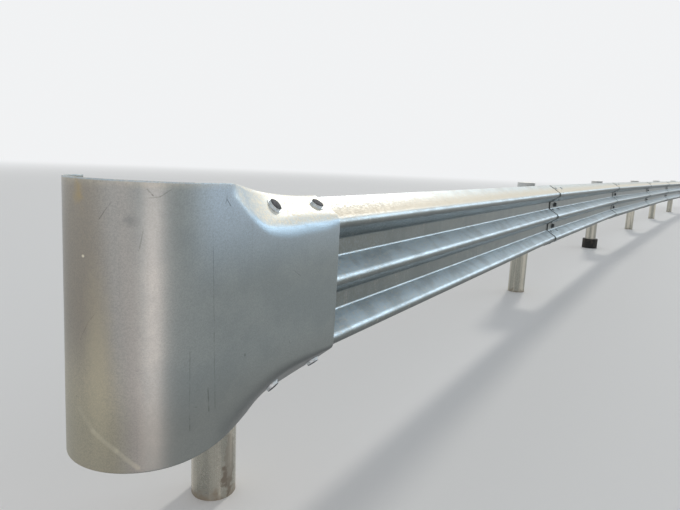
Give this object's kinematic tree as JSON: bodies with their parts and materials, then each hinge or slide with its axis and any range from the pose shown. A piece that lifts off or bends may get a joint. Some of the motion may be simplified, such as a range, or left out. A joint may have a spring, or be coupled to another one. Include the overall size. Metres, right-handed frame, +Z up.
{
  "type": "highway guardrail section",
  "caption": "Three-wave steel guardrail on round posts with block-outs, bending gently towards the road, with a rounded flared end terminal.",
  "frame": {"origin": "centre of the first post's foot, at ground level", "axes": "+X along the row away from the end terminal, +Y away from the road, +Z up"},
  "size_m": [24.7162, 1.6724, 1.0838],
  "materials": {
    "terminal_steel": "satin galvanised plate",
    "rail_steel": "spangled galvanised plate",
    "post_steel": "galvanised tube",
    "cap_steel": "pressed galvanised cap",
    "block_steel": "galvanised plate",
    "collar_rubber": "dull black"
  },
  "bodies": {
    "root": {"end_terminal": "terminal_steel", "beam_1": "rail_steel", "beam_2": "rail_steel", "beam_3": "rail_steel", "beam_4": "rail_steel", "beam_5": "rail_steel", "beam_6": "rail_steel", "post_1": "post_steel", "post_cap_1": "cap_steel", "block_out_1": "block_steel", "post_2": "post_steel", "post_cap_2": "cap_steel", "block_out_2": "block_steel", "post_3": "post_steel", "post_cap_3": "cap_steel", "block_out_3": "block_steel", "post_4": "post_steel", "post_cap_4": "cap_steel", "block_out_4": "block_steel", "post_5": "post_steel", "post_cap_5": "cap_steel", "block_out_5": "block_steel", "post_6": "post_steel", "post_cap_6": "cap_steel", "block_out_6": "block_steel", "post_7": "post_steel", "post_cap_7": "cap_steel", "block_out_7": "block_steel", "foot_collar_3": "collar_rubber"}
  },
  "joints": []
}
